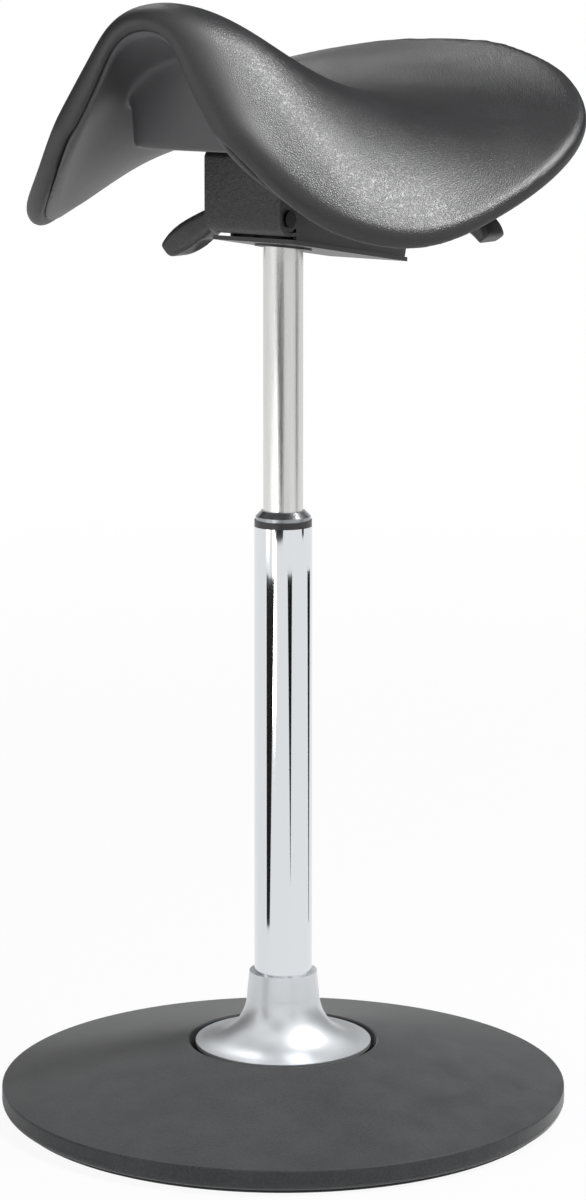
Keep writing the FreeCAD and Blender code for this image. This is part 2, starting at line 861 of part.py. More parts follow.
def biarc(start, start_way, end, end_way, share):
    # Two tangent arcs between two points with set directions, as (middle, end) steps.
    # A share below one tightens the first arc.
    v = (end[0] - start[0], end[1] - start[1])
    vt = dot(v, start_way) + dot(v, end_way)
    a = 2 * (1 - dot(start_way, end_way))
    if a < 1e-9:
        even = dot(v, v) / (2 * vt)
    else:
        even = (-vt + math.sqrt(vt * vt + a * dot(v, v))) / a
    first = even * share
    last = (dot(v, v) / 2 - first * dot(v, start_way)) / (dot(v, end_way) + first * a / 2)
    p = offset(start, start_way, first)
    q = offset(end, end_way, -last)
    part_way = first / (first + last)
    joint = (p[0] + (q[0] - p[0]) * part_way, p[1] + (q[1] - p[1]) * part_way)
    return [(arc_through(start, p, joint), joint), (arc_through(joint, q, end), end)]


def arc_through(start, corner, end):
    # Middle of the arc that touches both legs of the corner.
    middle = ((start[0] + end[0]) / 2, (start[1] + end[1]) / 2)
    leg = math.hypot(corner[0] - start[0], corner[1] - start[1])
    half_chord = math.hypot(end[0] - start[0], end[1] - start[1]) / 2
    rise = math.hypot(corner[0] - middle[0], corner[1] - middle[1])
    share = half_chord / (leg + half_chord)
    if rise < 1e-6:
        return middle
    return middle[0] + (corner[0] - middle[0]) * share, middle[1] + (corner[1] - middle[1]) * share


def rim_frame(section):
    # Rim centre, outward direction, direction square to it and half the rim's thickness.
    y, crown, half, rim, slope, depth, thickness = section
    angle = math.radians(slope)
    way = (math.cos(angle), -math.sin(angle))
    normal = (math.sin(angle), math.cos(angle))
    return (half, rim), way, normal, thickness / 2


def offset(point, way, amount):
    return point[0] + way[0] * amount, point[1] + way[1] * amount


def walked_back(steps, start):
    points = [start] + [end for middle, end in steps]
    return [(steps[index][0], points[index]) for index in range(len(steps) - 1, -1, -1)]


def flipped(steps, start):
    # The same steps walked backwards on the other side of the middle plane.
    return [((-x0, z0), (-x1, z1)) for (x0, z0), (x1, z1) in walked_back(steps, start)]


def crown_share(y):
    front = saddle_sections[0][0]
    return min(1.0, crown_tight + (1.0 - crown_tight) * (y - front) / (crown_open - front))


def top_steps(section):
    rim, way, normal, half = rim_frame(section)
    return biarc((0.0, section[1]), (1.0, 0.0), offset(rim, normal, half), way, crown_share(section[0]))


def nose_steps(section):
    rim, way, normal, half = rim_frame(section)
    lean = math.sqrt(0.5) * half
    first = offset(offset(rim, normal, lean), way, lean)
    second = offset(offset(rim, normal, -lean), way, lean)
    return [(first, offset(rim, way, half)), (second, offset(rim, normal, -half))]


def under_steps(section):
    rim, way, normal, half = rim_frame(section)
    start = offset(rim, normal, -half)
    crown_under = (0.0, section[1] - section[5])
    return start, walked_back(biarc(crown_under, (1.0, 0.0), start, way, crown_share(section[0])), crown_under)


def arc_sweep(start, middle, end):
    # Centre, radius, first and last angle in degrees of the arc through three points.
    ax, az = middle[0] - start[0], middle[1] - start[1]
    bx, bz = end[0] - start[0], end[1] - start[1]
    turn = ax * bz - az * bx
    aa = ax * ax + az * az
    bb = bx * bx + bz * bz
    centre = (start[0] + (bz * aa - az * bb) / (2 * turn), start[1] + (ax * bb - bx * aa) / (2 * turn))
    first = math.degrees(math.atan2(start[1] - centre[1], start[0] - centre[0]))
    last = math.degrees(math.atan2(end[1] - centre[1], end[0] - centre[0]))
    sweep = (last - first) % 360 if turn > 0 else -((first - last) % 360)
    return centre, math.hypot(start[0] - centre[0], start[1] - centre[1]), first, first + sweep


def shell_steps(section, drop, inset):
    # The pad's underside moved down square to itself, starting inside the rim.
    here, steps = under_steps(section)
    start = None
    moved = []
    for middle, end in steps:
        centre, radius, first, last = arc_sweep(here, middle, end)
        way = 1 if last > first else -1
        lower = radius - way * drop
        if start is None:
            first += way * math.degrees(inset / radius)
            start = on_arc(centre, lower, first)
        moved.append((on_arc(centre, lower, (first + last) / 2), on_arc(centre, lower, last)))
        here = end
    return start, moved


def pad_section(section):
    y, crown = section[0], section[1]
    steps = top_steps(section) + nose_steps(section)
    steps += under_steps(section)[1]
    return wire_in(lambda x, z: at(x, y, z), (0.0, crown), steps + flipped(steps, (0.0, crown)))


def seat_pad():
    return Part.makeLoft([pad_section(section) for section in saddle_sections], True, False)


def shell_depth(y):
    front, rear = saddle_sections[1][0], saddle_sections[-2][0]
    return min(shell_thickness, 2 * shell_lip + shell_taper * min(y - front, rear - y))


def skin_section(section):
    y = section[0]
    depth = shell_depth(y)
    bevel = min(shell_bevel, bevel_share * section[2])
    upper_start, upper = shell_steps(section, -shell_allowance, shell_inset)
    lip, spare = shell_steps(section, shell_lip, shell_inset)
    lower_start, lower = shell_steps(section, depth, shell_inset + bevel)
    crown_under = (0.0, section[1] - section[5] - depth)
    steps = walked_back(lower, lower_start) + [lip, upper_start] + upper
    return wire_in(lambda x, z: at(x, y, z), crown_under, steps + skin_return(steps, crown_under))


def skin_return(steps, start):
    points = [start] + [step[1] if isinstance(step[0], tuple) else step for step in steps]
    back = []
    for index in range(len(steps) - 1, -1, -1):
        step = steps[index]
        end = (-points[index][0], points[index][1])
        if isinstance(step[0], tuple):
            back.append(((-step[0][0], step[0][1]), end))
        else:
            back.append(end)
    return back


def block():
    wires = []
    for level, grow in ((block_bottom, 0.0), (max(section[1] for section in saddle_sections), block_draft)):
        outline = rounded_plate(
            block_half_width + grow, block_front - grow, block_rear + grow, level, level + 1.0, block_corner)
        lowest = min(outline.Faces, key=lambda face: face.CenterOfMass.z)
        wires.append(lowest.OuterWire)
    return Part.makeLoft(wires, True, True)


def seat_shell():
    # The blank is trimmed to the pad's underside, so the two are bonded face to face.
    skin = Part.makeLoft([skin_section(section) for section in saddle_sections[1:-1]], True, False)
    trimmed = skin.fuse(block()).cut(seat_pad())
    shell = min(trimmed.Solids, key=lambda solid: solid.CenterOfMass.z)
    for x, y in seat_bolt_places():
        hole_top = block_bottom + seat_bolt_reach + seat_gap
        shell = shell.cut(upright(seat_bolt_radius + fit_gap, block_bottom, hole_top, x, y))
    return shell


def main():
    os.makedirs("parts", exist_ok=True)
    nodes = {
        "base_disc": base_disc(),
        "weight_plate": weight_plate(),
        "disc_screws": disc_screws(),
        "floor_pad": floor_pad(),
        "buffer_base": buffer_base(),
        "buffer_base_screws": cap_screws(buffer_bottom, base_screw_length, base_screw_circle, 45),
        "sway_buffer": sway_buffer(),
        "buffer_top_plate": buffer_top_plate(),
        "column_foot": column_foot(),
        "foot_screws": cap_screws(flange_top, foot_screw_length, foot_screw_circle, 0),
        "column_tube": column_tube(),
        "trumpet": trumpet(),
        "guide_bush": guide_bush(),
        "top_ring": top_ring(),
        "lower_race": bearing_race(spigot_top),
        "bearing_balls": bearing_balls(),
        "bearing_cage": bearing_cage(),
        "upper_race": bearing_race(ball_roof),
        "piston_rod": piston_rod(),
        "rod_clip": rod_clip(),
        "bump_stop": bump_stop(),
        "piston": piston(),
        "pressure_tube": pressure_tube(),
        "release_button": release_button(),
        "taper_socket": taper_socket(),
        "mechanism_pan": mechanism_pan(),
        "pivot_pin": pivot_pin(),
        "clamp_bolt": clamp_bolt(),
        "clamp_washer": clamp_washer(),
        "lever_clevis": lever_clevis(),
        "lever_pin": lever_pin(),
        "height_arm": height_arm(),
        "height_paddle": height_paddle(),
        "tilt_arm": tilt_arm(),
        "tilt_paddle": tilt_paddle(),
        "cam_pin": cam_pin(),
        "tilt_bracket": tilt_bracket(),
        "seat_plate": seat_plate(),
        "seat_bolts": seat_bolts(),
        "tilt_quadrants": Part.makeCompound([quadrant(), mirrored(quadrant())]),
        "seat_shell": seat_shell(),
        "seat_pad": seat_pad(),
    }
    for name, shape in nodes.items():
        solids = len(shape.Solids)
        print(name, solids, "solids", round(shape.Volume / 1000.0, 2), "cm3", "valid" if shape.isValid() else "INVALID")
        shape.exportStep("parts/" + name + ".step")


main()
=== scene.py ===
import bpy
import json
import math
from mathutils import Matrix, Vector


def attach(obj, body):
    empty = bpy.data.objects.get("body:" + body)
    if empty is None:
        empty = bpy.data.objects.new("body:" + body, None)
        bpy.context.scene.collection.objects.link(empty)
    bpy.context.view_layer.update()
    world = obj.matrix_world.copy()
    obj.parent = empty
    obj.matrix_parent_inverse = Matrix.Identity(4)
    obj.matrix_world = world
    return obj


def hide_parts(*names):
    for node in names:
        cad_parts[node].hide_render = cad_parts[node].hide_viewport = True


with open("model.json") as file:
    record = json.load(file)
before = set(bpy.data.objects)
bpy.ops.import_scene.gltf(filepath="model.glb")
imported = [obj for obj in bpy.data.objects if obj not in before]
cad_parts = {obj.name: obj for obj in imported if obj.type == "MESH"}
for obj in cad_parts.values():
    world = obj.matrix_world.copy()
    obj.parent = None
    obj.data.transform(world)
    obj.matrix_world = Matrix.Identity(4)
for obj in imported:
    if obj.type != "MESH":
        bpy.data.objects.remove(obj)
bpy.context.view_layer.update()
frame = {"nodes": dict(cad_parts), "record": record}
nodes = frame["nodes"]
mm = 0.001
weldGap = 0.02 * mm
print("frame loaded:", len(nodes), "pieces")


def linear(hexColour):
    # sRGB hex to linear RGBA
    parts = [int(hexColour[i:i + 2], 16) / 255 for i in (1, 3, 5)]
    return [c / 12.92 if c <= 0.04045 else ((c + 0.055) / 1.055) ** 2.4 for c in parts] + [1.0]


def newMaterial(name, colour, roughness, metallic=0.0):
    material = bpy.data.materials.new(name)
    material.use_nodes = True
    shader = material.node_tree.nodes["Principled BSDF"]
    shader.inputs["Base Color"].default_value = linear(colour)
    shader.inputs["Roughness"].default_value = roughness
    shader.inputs["Metallic"].default_value = metallic
    return material, material.node_tree, shader


def addNode(tree, kind, settings=None, links=None):
    # settings are node properties or input values, links go from a socket into an input
    node = tree.nodes.new(kind)
    for key, value in (settings or {}).items():
        if isinstance(key, str) and hasattr(node, key):
            setattr(node, key, value)
        else:
            node.inputs[key].default_value = value
    for key, socket in (links or {}).items():
        tree.links.new(socket, node.inputs[key])
    return node


def selectOnly(obj):
    if bpy.context.object and bpy.context.object.mode != "OBJECT":
        bpy.ops.object.mode_set(mode="OBJECT")
    bpy.ops.object.select_all(action="DESELECT")
    obj.select_set(True)
    bpy.context.view_layer.objects.active = obj


def copyOfNode(nodeName, pieceName):
    # the moulded pieces start from their CAD solid, welded into one skin
    piece = nodes[nodeName].copy()
    piece.data = nodes[nodeName].data.copy()
    piece.name = pieceName
    piece.parent = None
    for key in list(piece.keys()):
        del piece[key]
    bpy.context.scene.collection.objects.link(piece)
    selectOnly(piece)
    if piece.data.has_custom_normals:
        bpy.ops.mesh.customdata_custom_splitnormals_clear()
    bpy.ops.object.mode_set(mode="EDIT")
    bpy.ops.mesh.select_all(action="SELECT")
    bpy.ops.mesh.remove_doubles(threshold=weldGap)
    bpy.ops.mesh.normals_make_consistent(inside=False)
    bpy.ops.object.mode_set(mode="OBJECT")
    return piece


def applied(piece, kind, **settings):
    modifier = piece.modifiers.new(kind.title(), kind)
    for key, value in settings.items():
        setattr(modifier, key, value)
    selectOnly(piece)
    bpy.ops.object.modifier_apply(modifier=modifier.name)


def finishWith(piece, material):
    piece.data.materials.clear()
    piece.data.materials.append(material)
    selectOnly(piece)
    bpy.ops.object.shade_smooth()


def smoothStep(low, high, value):
    t = min(1.0, max(0.0, (value - low) / (high - low)))
    return t * t * (3 - 2 * t)


# Sizes of patterns are in millimetres. "relief" is the strength of a bump and "depth" its height,
# "gloss" is the range that a pattern moves the roughness over.

# Saddle skin: integral-skin polyurethane foam, cast against a leather-etched mould.
# The top is grained and satin, the front band and the underside of the rim are smooth.
skin = {
    "colour": "#29292b",
    # darker colour painted into the grain's valleys: painted shade in the pits
    "valleyShade": "#121214",
    "roughness": 0.33,
    "smoothRoughness": 0.5,
    "cloudRoughness": 0.14,
    "shine": 0.68,
    "grain": 1.5,
    "grainEdge": 0.32,
    "wander": 3.2,      # the grain's cells are bent at this spacing
    "bend": 0.9,
    "pore": 0.7,
    "poreShare": 0.35,
    "mottle": 38.0,     # cloudy sheen of a cast skin
    "depth": 0.23,
    "relief": 0.42,
    "baseTint": 0.32,
    "grainShadeShare": 0.45,
    "mottleTint": 0.45,
}


def makeSkin():
    material, tree, shader = newMaterial("integralSkinPolyurethane", skin["colour"], skin["roughness"])
    shader.inputs["Specular IOR Level"].default_value = skin["shine"]
    place = addNode(tree, "ShaderNodeTexCoord").outputs["Object"]
    grainAmount = addNode(tree, "ShaderNodeAttribute", {"attribute_name": "grainAmount"}).outputs["Fac"]
    warp = addNode(tree, "ShaderNodeTexNoise", {"Scale": 1 / (skin["wander"] * mm), "Detail": 2.0},
                   {"Vector": place})
    shift = addNode(tree, "ShaderNodeVectorMath", {"operation": "MULTIPLY_ADD", 1: (skin["bend"] * mm,) * 3},
                    {0: warp.outputs["Color"], 2: place})
    cells = addNode(tree, "ShaderNodeTexVoronoi",
                    {"feature": "DISTANCE_TO_EDGE", "Scale": 1 / (skin["grain"] * mm)},
                    {"Vector": shift.outputs["Vector"]})
    pebble = addNode(tree, "ShaderNodeMapRange",
                     {"From Max": skin["grainEdge"], "interpolation_type": "SMOOTHSTEP"},
                     {"Value": cells.outputs["Distance"]})
    pores = addNode(tree, "ShaderNodeTexNoise", {"Scale": 1 / (skin["pore"] * mm), "Detail": 3.0},
                    {"Vector": place})
    height = addNode(tree, "ShaderNodeMath", {"operation": "MULTIPLY_ADD", 1: skin["poreShare"]},
                     {0: pores.outputs["Fac"], 2: pebble.outputs["Result"]})
    masked = addNode(tree, "ShaderNodeMath", {"operation": "MULTIPLY"},
                     {0: height.outputs["Value"], 1: grainAmount})
    bump = addNode(tree, "ShaderNodeBump", {"Strength": skin["relief"], "Distance": skin["depth"] * mm},
                   {"Height": masked.outputs["Value"]})
    tree.links.new(bump.outputs["Normal"], shader.inputs["Normal"])
    clouds = addNode(tree, "ShaderNodeTexNoise", {"Scale": 1 / (skin["mottle"] * mm), "Detail": 3.0},
                     {"Vector": place})
    lift = addNode(tree, "ShaderNodeMath",
                   {"operation": "MULTIPLY_ADD", 1: skin["grainShadeShare"], 2: skin["baseTint"]},
                   {0: pebble.outputs["Result"]})
    mixed = addNode(tree, "ShaderNodeMath", {"operation": "MULTIPLY_ADD", 1: skin["mottleTint"]},
                    {0: clouds.outputs["Fac"], 2: lift.outputs["Value"]})
    # Base colour: painted shade in the grain's valleys, darker than the pebble tops, with a random cloudy tone
    # mixed in
    tint = addNode(tree, "ShaderNodeMix",
                   {"data_type": "RGBA", 6: linear(skin["valleyShade"]), 7: linear(skin["colour"])},
                   {0: mixed.outputs["Value"]})
    tree.links.new(tint.outputs[2], shader.inputs["Base Color"])
    gloss = addNode(tree, "ShaderNodeMapRange",
                    {"To Min": skin["smoothRoughness"], "To Max": skin["roughness"]}, {"Value": grainAmount})
    satin = addNode(tree, "ShaderNodeMath", {"operation": "MULTIPLY_ADD", 1: skin["cloudRoughness"]},
                    {0: clouds.outputs["Fac"], 2: gloss.outputs["Result"]})
    tree.links.new(satin.outputs["Value"], shader.inputs["Roughness"])
    return material


# Under-shell: injection-moulded polypropylene, fine spark-etched face, softer sheen than the skin
shell = {
    "colour": "#505052",
    "streak": "#464648",
    "roughness": 0.46,
    "gloss": (0.40, 0.54),
    "spark": 0.9,
    "flow": 60.0,
    "depth": 0.08,
    "relief": 0.22,
}


def makeShellPlastic():
    material, tree, shader = newMaterial("sparkEtchedPolypropylene", shell["colour"], shell["roughness"])
    place = addNode(tree, "ShaderNodeTexCoord").outputs["Object"]
    spark = addNode(tree, "ShaderNodeTexNoise", {"Scale": 1 / (shell["spark"] * mm), "Detail": 4.0},
                    {"Vector": place})
    bump = addNode(tree, "ShaderNodeBump", {"Strength": shell["relief"], "Distance": shell["depth"] * mm},
                   {"Height": spark.outputs["Fac"]})
    tree.links.new(bump.outputs["Normal"], shader.inputs["Normal"])
    flow = addNode(tree, "ShaderNodeTexNoise", {"Scale": 1 / (shell["flow"] * mm), "Detail": 2.0},
                   {"Vector": place})
    tint = addNode(tree, "ShaderNodeMix",
                   {"data_type": "RGBA", 6: linear(shell["streak"]), 7: linear(shell["colour"])},
                   {0: flow.outputs["Fac"]})
    tree.links.new(tint.outputs[2], shader.inputs["Base Color"])
    low, high = shell["gloss"]
    rough = addNode(tree, "ShaderNodeMapRange", {"To Min": low, "To Max": high}, {"Value": spark.outputs["Fac"]})
    tree.links.new(rough.outputs["Result"], shader.inputs["Roughness"])
    return material


# Tilt bracket: wrinkle powder coat, worm-like ridges two to three millimetres long
wrinkle = {
    "colour": "#1a1a1b",
    # lighter colour painted on the ridge tops: painted highlight
    "ridgeHighlight": "#2b2b2d",
    "roughness": 0.42,
    "length": 2.4,
    "twist": 1.6,
    "ridgeBand": (0.35, 0.65),
    "depth": 0.3,
    "relief": 0.7,
}


def makeWrinkleCoat():
    material, tree, shader = newMaterial("wrinklePowderCoat", wrinkle["colour"], wrinkle["roughness"])
    place = addNode(tree, "ShaderNodeTexCoord").outputs["Object"]
    worms = addNode(tree, "ShaderNodeTexNoise",
                    {"Scale": 1 / (wrinkle["length"] * mm), "Detail": 1.5, "Distortion": wrinkle["twist"]},
                    {"Vector": place})
    low, high = wrinkle["ridgeBand"]
    ridges = addNode(tree, "ShaderNodeMapRange", {"From Min": low, "From Max": high},
                     {"Value": worms.outputs["Fac"]})
    bump = addNode(tree, "ShaderNodeBump", {"Strength": wrinkle["relief"], "Distance": wrinkle["depth"] * mm},
                   {"Height": ridges.outputs["Result"]})
    tree.links.new(bump.outputs["Normal"], shader.inputs["Normal"])
    # The ridges are painted lighter than the troughs: a painted highlight on the ridge tops
    tint = addNode(tree, "ShaderNodeMix",
                   {"data_type": "RGBA", 6: linear(wrinkle["colour"]), 7: linear(wrinkle["ridgeHighlight"])},
                   {0: ridges.outputs["Result"]})
    tree.links.new(tint.outputs[2], shader.inputs["Base Color"])
    return material


# Pan, plate and arms: smooth black powder coat with a faint orange peel
blackCoat = {
    "colour": "#222224",
    "roughness": 0.38,
    "gloss": (0.32, 0.46),
    "peel": 1.6,
    "depth": 0.1,
    "relief": 0.18,
}


def makeBlackCoat():
    material, tree, shader = newMaterial("smoothPowderCoat", blackCoat["colour"], blackCoat["roughness"])
    place = addNode(tree, "ShaderNodeTexCoord").outputs["Object"]
    peel = addNode(tree, "ShaderNodeTexNoise", {"Scale": 1 / (blackCoat["peel"] * mm), "Detail": 1.0},
                   {"Vector": place})
    bump = addNode(tree, "ShaderNodeBump", {"Strength": blackCoat["relief"], "Distance": blackCoat["depth"] * mm},
                   {"Height": peel.outputs["Fac"]})
    tree.links.new(bump.outputs["Normal"], shader.inputs["Normal"])
    low, high = blackCoat["gloss"]
    rough = addNode(tree, "ShaderNodeMapRange", {"To Min": low, "To Max": high}, {"Value": peel.outputs["Fac"]})
    tree.links.new(rough.outputs["Result"], shader.inputs["Roughness"])
    return material


# Paddles, bush, cage: glass-filled nylon, satin with tiny fibre flecks
nylon = {
    "colour": "#303032",
    "fleck": "#434346",
    "roughness": 0.4,
    "fibre": 1.1,
    "fleckBand": (0.45, 0.8),
    "depth": 0.06,
    "relief": 0.2,
}


def makeNylon():
    material, tree, shader = newMaterial("glassFilledNylon", nylon["colour"], nylon["roughness"])
    place = addNode(tree, "ShaderNodeTexCoord").outputs["Object"]
    fibre = addNode(tree, "ShaderNodeTexNoise", {"Scale": 1 / (nylon["fibre"] * mm), "Detail": 5.0},
                    {"Vector": place})
    low, high = nylon["fleckBand"]
    flecks = addNode(tree, "ShaderNodeMapRange", {"From Min": low, "From Max": high},
                     {"Value": fibre.outputs["Fac"]})
    tint = addNode(tree, "ShaderNodeMix",
                   {"data_type": "RGBA", 6: linear(nylon["colour"]), 7: linear(nylon["fleck"])},
                   {0: flecks.outputs["Result"]})
    tree.links.new(tint.outputs[2], shader.inputs["Base Color"])
    bump = addNode(tree, "ShaderNodeBump", {"Strength": nylon["relief"], "Distance": nylon["depth"] * mm},
                   {"Height": fibre.outputs["Fac"]})
    tree.links.new(bump.outputs["Normal"], shader.inputs["Normal"])
    return material


# Sleeve: bright chrome over polished steel, with the faintest cloud of handling
chrome = {"colour": "#dcdfe2", "roughness": 0.045, "gloss": (0.03, 0.075), "smudge": 70.0}


def makeChrome():
    material, tree, shader = newMaterial("brightChrome", chrome["colour"], chrome["roughness"], 1.0)
    place = addNode(tree, "ShaderNodeTexCoord").outputs["Object"]
    smudge = addNode(tree, "ShaderNodeTexNoise", {"Scale": 1 / (chrome["smudge"] * mm), "Detail": 4.0},
                     {"Vector": place})
    low, high = chrome["gloss"]
    rough = addNode(tree, "ShaderNodeMapRange", {"To Min": low, "To Max": high}, {"Value": smudge.outputs["Fac"]})
    tree.links.new(rough.outputs["Result"], shader.inputs["Roughness"])
    return material


# Trumpet: die-cast aluminium, satin buffed round its axis under a clear lacquer
buffed = {
    "colour": "#e8ebee",
    "roughness": 0.4,
    "gloss": (0.34, 0.46),
    "metal": 0.75,
    "line": 0.9,
    "stretch": (0.02, 0.02, 1.0),   # draws the pattern out round the trumpet
    "depth": 0.03,
    "relief": 0.05,
}


def makeBuffed():
    material, tree, shader = newMaterial("buffedAluminium", buffed["colour"], buffed["roughness"], buffed["metal"])
    place = addNode(tree, "ShaderNodeTexCoord").outputs["Object"]
    flat = addNode(tree, "ShaderNodeMapping", {"Scale": buffed["stretch"]}, {"Vector": place})
    lines = addNode(tree, "ShaderNodeTexNoise", {"Scale": 1 / (buffed["line"] * mm), "Detail": 3.0},
                    {"Vector": flat.outputs["Vector"]})
    low, high = buffed["gloss"]
    rough = addNode(tree, "ShaderNodeMapRange", {"To Min": low, "To Max": high}, {"Value": lines.outputs["Fac"]})
    tree.links.new(rough.outputs["Result"], shader.inputs["Roughness"])
    bump = addNode(tree, "ShaderNodeBump", {"Strength": buffed["relief"], "Distance": buffed["depth"] * mm},
                   {"Height": lines.outputs["Fac"]})
    tree.links.new(bump.outputs["Normal"], shader.inputs["Normal"])
    return material


# Gas spring tube: cold-drawn steel, satin, fine lines along its length
drawn = {
    "colour": "#e4e4e3",
    "dark": "#cbcbca",
    "roughness": 0.26,
    "gloss": (0.22, 0.36),
    "line": 0.8,
    "stretch": (1.0, 1.0, 0.02),   # draws the pattern out along the tube
    "depth": 0.03,
    "relief": 0.12,
}


def makeDrawnSteel():
    material, tree, shader = newMaterial("coldDrawnSteel", drawn["colour"], drawn["roughness"], 1.0)
    place = addNode(tree, "ShaderNodeTexCoord").outputs["Object"]
    along = addNode(tree, "ShaderNodeMapping", {"Scale": drawn["stretch"]}, {"Vector": place})
    lines = addNode(tree, "ShaderNodeTexNoise", {"Scale": 1 / (drawn["line"] * mm), "Detail": 3.0},
                    {"Vector": along.outputs["Vector"]})
    tint = addNode(tree, "ShaderNodeMix",
                   {"data_type": "RGBA", 6: linear(drawn["dark"]), 7: linear(drawn["colour"])},
                   {0: lines.outputs["Fac"]})
    tree.links.new(tint.outputs[2], shader.inputs["Base Color"])
    low, high = drawn["gloss"]
    rough = addNode(tree, "ShaderNodeMapRange", {"To Min": low, "To Max": high}, {"Value": lines.outputs["Fac"]})
    tree.links.new(rough.outputs["Result"], shader.inputs["Roughness"])
    bump = addNode(tree, "ShaderNodeBump", {"Strength": drawn["relief"], "Distance": drawn["depth"] * mm},
                   {"Height": lines.outputs["Fac"]})
    tree.links.new(bump.outputs["Normal"], shader.inputs["Normal"])
    return material


# Ring and small steel parts: turned and zinc plated, the plating a little cloudy
turnedSteel = {"colour": "#a9abad", "dark": "#8a8c8f", "roughness": 0.3, "gloss": (0.22, 0.4), "cloud": 4.8}


def makeTurnedSteel():
    material, tree, shader = newMaterial("turnedZincSteel", turnedSteel["colour"], turnedSteel["roughness"], 1.0)
    place = addNode(tree, "ShaderNodeTexCoord").outputs["Object"]
    tone = addNode(tree, "ShaderNodeTexNoise", {"Scale": 1 / (turnedSteel["cloud"] * mm), "Detail": 4.0},
                   {"Vector": place})
    tint = addNode(tree, "ShaderNodeMix",
                   {"data_type": "RGBA", 6: linear(turnedSteel["dark"]), 7: linear(turnedSteel["colour"])},
                   {0: tone.outputs["Fac"]})
    tree.links.new(tint.outputs[2], shader.inputs["Base Color"])
    low, high = turnedSteel["gloss"]
    rough = addNode(tree, "ShaderNodeMapRange", {"To Min": low, "To Max": high}, {"Value": tone.outputs["Fac"]})
    tree.links.new(rough.outputs["Result"], shader.inputs["Roughness"])
    return material


# Hinge pin: the same steel, chemically blackened
blackOxide = {"colour": "#2c2c2e", "roughness": 0.38, "gloss": (0.3, 0.46), "cloud": 3.0}


def makeBlackOxide():
    material, tree, shader = newMaterial("blackOxideSteel", blackOxide["colour"], blackOxide["roughness"], 1.0)
    place = addNode(tree, "ShaderNodeTexCoord").outputs["Object"]
    tone = addNode(tree, "ShaderNodeTexNoise", {"Scale": 1 / (blackOxide["cloud"] * mm), "Detail": 3.0},
                   {"Vector": place})
    low, high = blackOxide["gloss"]
    rough = addNode(tree, "ShaderNodeMapRange", {"To Min": low, "To Max": high}, {"Value": tone.outputs["Fac"]})
    tree.links.new(rough.outputs["Result"], shader.inputs["Roughness"])
    return material


# Base disc: self-skinned polyurethane cast round its weight, dull and finely stippled
discSkin = {
    "colour": "#292b2d",
    "worn": "#424345",
    "roughness": 0.66,
    "gloss": (0.55, 0.72),
    "sheen": 0.6,
    "sheenRoughness": 0.35,
    "stipple": 1.6,
    "stippleShare": 0.9,
    "cloud": 26.0,
    "wornBand": (0.7, 1.25),
    "depth": 0.2,
    "relief": 0.6,
}


def makeDiscSkin():
    material, tree, shader = newMaterial("stippledPolyurethane", discSkin["colour"], discSkin["roughness"])
    shader.inputs["Sheen Weight"].default_value = discSkin["sheen"]
    shader.inputs["Sheen Roughness"].default_value = discSkin["sheenRoughness"]
    place = addNode(tree, "ShaderNodeTexCoord").outputs["Object"]
    stipple = addNode(tree, "ShaderNodeTexNoise", {"Scale": 1 / (discSkin["stipple"] * mm), "Detail": 3.0},
                      {"Vector": place})
    cloud = addNode(tree, "ShaderNodeTexNoise", {"Scale": 1 / (discSkin["cloud"] * mm), "Detail": 4.0},
                    {"Vector": place})
    tone = addNode(tree, "ShaderNodeMath", {"operation": "MULTIPLY_ADD", 1: discSkin["stippleShare"]},
                   {0: stipple.outputs["Fac"], 2: cloud.outputs["Fac"]})
    low, high = discSkin["wornBand"]
    level = addNode(tree, "ShaderNodeMapRange", {"From Min": low, "From Max": high},
                    {"Value": tone.outputs["Value"]})
    tint = addNode(tree, "ShaderNodeMix",
                   {"data_type": "RGBA", 6: linear(discSkin["colour"]), 7: linear(discSkin["worn"])},
                   {0: level.outputs["Result"]})
    tree.links.new(tint.outputs[2], shader.inputs["Base Color"])
    bump = addNode(tree, "ShaderNodeBump", {"Strength": discSkin["relief"], "Distance": discSkin["depth"] * mm},
                   {"Height": stipple.outputs["Fac"]})
    tree.links.new(bump.outputs["Normal"], shader.inputs["Normal"])
    low, high = discSkin["gloss"]
    rough = addNode(tree, "ShaderNodeMapRange", {"To Min": low, "To Max": high}, {"Value": cloud.outputs["Fac"]})
    tree.links.new(rough.outputs["Result"], shader.inputs["Roughness"])
    return material


# Floor pad, buffer and bump stop: black rubber, dull with a pale bloom in patches
blackRubber = {
    "colour": "#161617",
    "bloom": "#232325",
    "roughness": 0.75,
    "patch": 9.0,
    "depth": 0.1,
    "relief": 0.2,
}


def makeBlackRubber():
    material, tree, shader = newMaterial("blackRubber", blackRubber["colour"], blackRubber["roughness"])
    place = addNode(tree, "ShaderNodeTexCoord").outputs["Object"]
    patch = addNode(tree, "ShaderNodeTexNoise", {"Scale": 1 / (blackRubber["patch"] * mm), "Detail": 5.0},
                    {"Vector": place})
    tint = addNode(tree, "ShaderNodeMix",
                   {"data_type": "RGBA", 6: linear(blackRubber["colour"]), 7: linear(blackRubber["bloom"])},
                   {0: patch.outputs["Fac"]})
    tree.links.new(tint.outputs[2], shader.inputs["Base Color"])
    bump = addNode(tree, "ShaderNodeBump",
                   {"Strength": blackRubber["relief"], "Distance": blackRubber["depth"] * mm},
                   {"Height": patch.outputs["Fac"]})
    tree.links.new(bump.outputs["Normal"], shader.inputs["Normal"])
    return material


